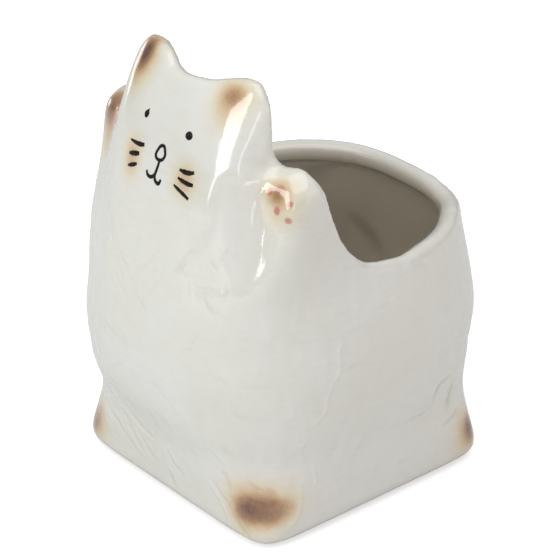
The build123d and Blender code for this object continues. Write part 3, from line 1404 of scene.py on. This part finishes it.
    def _press_creases(self, body: bpy.types.Object, lines: list["CreaseLine"]) -> None:
        """Presses the creases into the clay and marks how deep each vertex lies in them, for glaze pooling in
        the creases together with painted shade there.

        Args:
            body: The casting.
            lines: The creases.
        """
        mesh = body.data
        places = [vert.co.copy() for vert in mesh.vertices]
        normals = [vert.normal.copy() for vert in mesh.vertices]
        tree = search_tree(places)
        depths = [0.0] * len(places)
        for line in lines:
            for index, depth in line.depths(tree, normals).items():
                depths[index] += depth
        pressed = [place - normal * depth for place, normal, depth in zip(places, normals, depths)]
        move_vertices(mesh, pressed)
        store_values(mesh, POOLED_AND_SHADE_ATTRIBUTE, [share_between(depth, 0.0, self.pool_and_shade_depth) for depth in depths])

    def _paint_inside_shade(self, body: bpy.types.Object) -> None:
        """Stores how far each vertex lies inside, for the painted shade there, and adds painted shadow under
        the lip and painted shade down in the pot.

        Args:
            body: The casting, whose creases are pressed already.
        """
        mesh = body.data
        lip_foot = self._rim_height() - self.lip_height
        marks = [self._inside_shade_shares(vert, lip_foot) for vert in mesh.vertices]
        pooled_and_shade = mesh.attributes[POOLED_AND_SHADE_ATTRIBUTE].data
        for item, (_, dark) in zip(pooled_and_shade, marks):
            item.value = min(item.value + dark, 1.0)
        store_values(mesh, INSIDE_SHADE_ATTRIBUTE, [inside for inside, _ in marks])

    def _inside_shade_shares(self, vert: bpy.types.MeshVertex, lip_foot: float) -> tuple[float, float]:
        """Tells how much painted shade one vertex gets inside the hollow.

        Args:
            vert: The vertex.
            lip_foot: Height of the lip's lower edge.

        Returns:
            The share of the painted shade tone inside the pot, and the share of painted shadow that adds to
            the darkening in the creases.
        """
        height = vert.co.z
        if self.floor_low < height < self.floor_top and vert.normal.z > self.floor_facing:
            return 1.0, 0.0
        to_axis = Vector((-vert.co.x, -vert.co.y, 0.0)).normalized()
        on_wall = share_between(vert.normal.dot(to_axis), *self.wall_facing)
        behind = share_between(vert.co.y, *self.back_part)
        # Painted shade: the lip's face gets less of the shade tone inside the pot than the wall under it.
        on_lip = share_between(height, lip_foot, lip_foot + self.lip_fade)
        # Painted shadow in a band under the lip's lower edge, and painted shade that grows towards the bottom
        # of the pot.
        undercut = max(1.0 - abs(height - lip_foot) / self.undercut_reach, 0.0)
        depth = share_between(height, self.low_shade_from, self.low_shade_from - self.low_shade_reach)
        dark = max(undercut, depth * self.low_shade_share) * on_wall * behind
        return on_wall * (1.0 - (1.0 - self.lip_tone) * behind * on_lip), dark

    def _spot_places(self, spot: SoftSpot, camera: PhotoCamera, surface: "Surface") -> list[SpotPlace]:
        """Finds the surface point under a spot's pixel, and its mirror image if the spot has one.

        Args:
            spot: The spot.
            camera: The camera.
            surface: The casting's surface.

        Returns:
            One place, or two.
        """
        middle = surface.under_pixel(camera, spot.pixel)[0]
        log.debug("spot %s at %s", spot.name, middle)
        places = [SpotPlace(spot, middle)]
        if spot.mirrored:
            places.append(SpotPlace(spot, mirrored(middle)))
        return places


@dataclass
class CreaseLine:
    """A crease laid on the casting: points along it and the surface's normal at each."""

    crease: Crease
    points: list[Vector]
    normals: list[Vector]
    reach_in_widths: float = 2.2
    same_side: float = 0.2
    blunt_end: float = 0.02

    def depths(self, tree: KDTree, normals: list[Vector]) -> dict[int, float]:
        """How deep the crease goes at each vertex near it, fading out at both ends.

        Args:
            tree: The casting's vertices.
            normals: The casting's normals.

        Returns:
            Depth by vertex.
        """
        width = self.crease.width_mm * MM
        nearest: dict[int, tuple[float, float]] = {}
        for step, (point, normal) in enumerate(zip(self.points, self.normals)):
            along = step / (len(self.points) - 1)
            for _, index, distance in tree.find_range(point, self.reach_in_widths * width):
                if normals[index].dot(normal) < self.same_side:
                    continue
                if index not in nearest or distance < nearest[index][0]:
                    nearest[index] = (distance, along)
        depths = {}
        for index, (distance, along) in nearest.items():
            held = min(max(along, self.blunt_end), 1.0 - self.blunt_end)
            fade = math.sqrt(math.sin(math.pi * held))
            depths[index] = self.crease.depth_mm * MM * fade * math.exp(-((distance / width) ** 2))
        return depths


def points_along(knots: list[Vector], spacing: float, fewest: int = 4) -> int:
    """Counts the points that a line through knots needs.

    Args:
        knots: The knots.
        spacing: Distance between two points.
        fewest: The smallest number of points.

    Returns:
        The number of points.
    """
    length = sum((end - start).length for start, end in zip(knots, knots[1:]))
    return max(round(length / spacing), fewest)


def smooth_line(knots: list[Vector], count: int) -> list[Vector]:
    """Puts points along a smooth line through a few knots, as a Catmull-Rom spline does.

    Args:
        knots: The knots.
        count: Number of points.

    Returns:
        The points.
    """
    ends = [knots[0] * 2 - knots[1], *knots, knots[-1] * 2 - knots[-2]]
    line = []
    for step in range(count):
        reach = step / (count - 1) * (len(knots) - 1)
        knot = min(int(reach), len(knots) - 2)
        t = reach - knot
        before, start, end, after = ends[knot : knot + 4]
        slope = end - before
        bend = 2 * before - 5 * start + 4 * end - after
        twist = 3 * start - before - 3 * end + after
        line.append((2 * start + slope * t + bend * t * t + twist * t**3) / 2)
    return line


@dataclass
class Surface:
    """A mesh that pixels of the photograph are dropped on."""

    tree: BVHTree

    @classmethod
    def of(cls, obj: bpy.types.Object) -> "Surface":
        """Reads an object's surface.

        Args:
            obj: A mesh object at the origin.

        Returns:
            Its surface.
        """
        bm = bmesh.new()
        bm.from_mesh(obj.data)
        tree = BVHTree.FromBMesh(bm)
        bm.free()
        return cls(tree)

    def reach(self, angle: float, height: float) -> float:
        """Distance from the upright axis to the outside of the surface.

        Args:
            angle: Direction from the front towards the cat's left.
            height: Height above the floor.

        Returns:
            The distance.
        """
        outward = Vector((math.sin(angle), -math.cos(angle), 0.0))
        start = outward * FAR_OUT + UP * height
        return FAR_OUT - self.tree.ray_cast(start, -outward)[3]

    def under_pixel(self, camera: PhotoCamera, pixel: Pixel) -> tuple[Vector, Vector]:
        """Finds the first point of the surface that a pixel shows, or the nearest one past an edge.

        Args:
            camera: The camera.
            pixel: A pixel of the photograph.

        Returns:
            The point and the surface's normal there.
        """
        ray = camera.ray(pixel)
        point, normal, _, _ = self.tree.ray_cast(camera.position(), ray)
        if point is None:
            beside = camera.position() + ray * camera.distance
            point, normal, _, _ = self.tree.find_nearest(beside)
        return point, normal


@dataclass
class FacePaint:
    """Eyes, nose, mouth and whiskers, brushed on the glaze as thin raised strokes."""

    strokes: tuple[BrushStroke, ...] = BRUSH_STROKES
    dabs: tuple[PaintDab, ...] = PAINT_DABS
    dab_thickness: float = 0.35 * MM
    dab_segments: int = 24
    boldness: float = 1.22
    tube_share: float = 1.35
    steps_between_knots: int = 10
    tube_resolution: int = 3
    finish: PaintFinish = field(default_factory=PaintFinish)

    def build(self, camera: PhotoCamera, body: bpy.types.Object) -> bpy.types.Object:
        """Paints the face.

        Args:
            camera: The camera, whose pixels place the strokes.
            body: The glazed casting.

        Returns:
            The strokes as one object.
        """
        surface = Surface.of(body)
        curve = bpy.data.curves.new("face_paint", "CURVE")
        curve.dimensions = "3D"
        curve.resolution_u = self.steps_between_knots
        curve.bevel_depth = 1.0
        curve.bevel_resolution = self.tube_resolution
        curve.use_fill_caps = True
        for stroke in self.strokes:
            self._add_stroke(curve, stroke, camera, surface)
        lines = new_object("face_lines", curve)
        graph = bpy.context.evaluated_depsgraph_get()
        bm = bmesh.new()
        bm.from_mesh(lines.evaluated_get(graph).to_mesh())
        bpy.data.objects.remove(lines)
        for dab in self.dabs:
            self._add_dab(bm, dab, camera, surface)
        paint = object_from_bmesh(bm, "face_paint")
        paint.data.materials.append(self.finish.material())
        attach(paint, POT_BODY)
        return paint

    def _add_dab(self, bm: bmesh.types.BMesh, dab: PaintDab, camera: PhotoCamera, surface: Surface) -> None:
        """Adds one flat round dab that follows the surface.

        Args:
            bm: The bmesh that holds the face.
            dab: The dab.
            camera: The camera.
            surface: The casting's surface.
        """
        middle, normal = surface.under_pixel(camera, dab.pixel)
        log.debug("dab %s at %s", dab.name, middle)
        across = UP.cross(normal).normalized() * (dab.width_mm * MM / 2)
        upwards = normal.cross(across).normalized() * (dab.height_mm * MM / 2)
        around = self.dab_segments
        made = bmesh.ops.create_uvsphere(bm, u_segments=around, v_segments=around // 2, radius=1.0)
        for vert in made["verts"]:
            side, height, out = vert.co
            risen = max(height, 0.0)
            side = side * (1.0 - dab.taper * risen) + dab.lean * risen**2
            foot, facing, _, _ = surface.tree.find_nearest(middle + across * side + upwards * height)
            vert.co = foot + facing * out * self.dab_thickness

    def _add_stroke(
        self, curve: bpy.types.Curve, stroke: BrushStroke, camera: PhotoCamera, surface: Surface
    ) -> None:
        """Adds one stroke as a tube sunk in the glaze, so that only its flat back stands out.

        Args:
            curve: The curve that holds all strokes.
            stroke: The stroke.
            camera: The camera.
            surface: The casting's surface.
        """
        log.debug("stroke %s through %d points", stroke.name, len(stroke.pixels))
        spline = curve.splines.new("BEZIER")
        spline.bezier_points.add(len(stroke.pixels) - 1)
        spline.use_cyclic_u = stroke.closed
        for knot, pixel, width in zip(spline.bezier_points, stroke.pixels, stroke.widths_mm):
            point, normal = surface.under_pixel(camera, pixel)
            half = width * self.boldness * MM / 2
            radius = half * self.tube_share
            knot.co = point - normal * math.sqrt(radius * radius - half * half)
            knot.radius = radius
            knot.handle_left_type = "AUTO"
            knot.handle_right_type = "AUTO"


@dataclass
class DrainPlug:
    """The rubber stopper in the floor of the pot, as the CAD made it."""

    finish: RubberFinish = field(default_factory=RubberFinish)

    def dress(self) -> None:
        """Gives the stopper its rubber."""
        dress_node(PLUG_NODE, self.finish.material())


@dataclass
class FeltPads:
    """The four felt pads under the foot, as the CAD made them."""

    finish: FeltFinish = field(default_factory=FeltFinish)

    def dress(self) -> None:
        """Gives the pads their felt."""
        felt = self.finish.material()
        for name in PAD_NODES:
            dress_node(name, felt)


def dress_node(name: str, material: bpy.types.Material) -> None:
    """Puts a material on every slot of a CAD node.

    Args:
        name: The node.
        material: The material.
    """
    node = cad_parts[name]
    if not node.material_slots:
        node.data.materials.append(material)
    for slot in node.material_slots:
        slot.material = material


def set_tone() -> None:
    """Shows colours as they are lit."""
    settings = bpy.context.scene.view_settings
    settings.view_transform = "Standard"
    settings.look = "None"


def main() -> None:
    """Builds the planter, piece by piece, and the studio round it."""
    logging.basicConfig(level=logging.INFO, format="%(message)s")
    cad_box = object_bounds()
    middle = (cad_box[0] + cad_box[1]) / 2
    set_tone()
    camera = PhotoCamera()
    camera.build()
    log.info("camera at %s", camera.position())
    Studio().build(middle)
    body = CeramicBody().build(camera)
    log.info("casting with %d faces", len(body.data.polygons))
    paint = FacePaint().build(camera, body)
    log.info("face paint with %d faces", len(paint.data.polygons))
    DrainPlug().dress()
    log.info("drain plug dressed")
    FeltPads().dress()
    log.info("%d felt pads dressed", len(PAD_NODES))


if __name__ == "__main__":
    main()
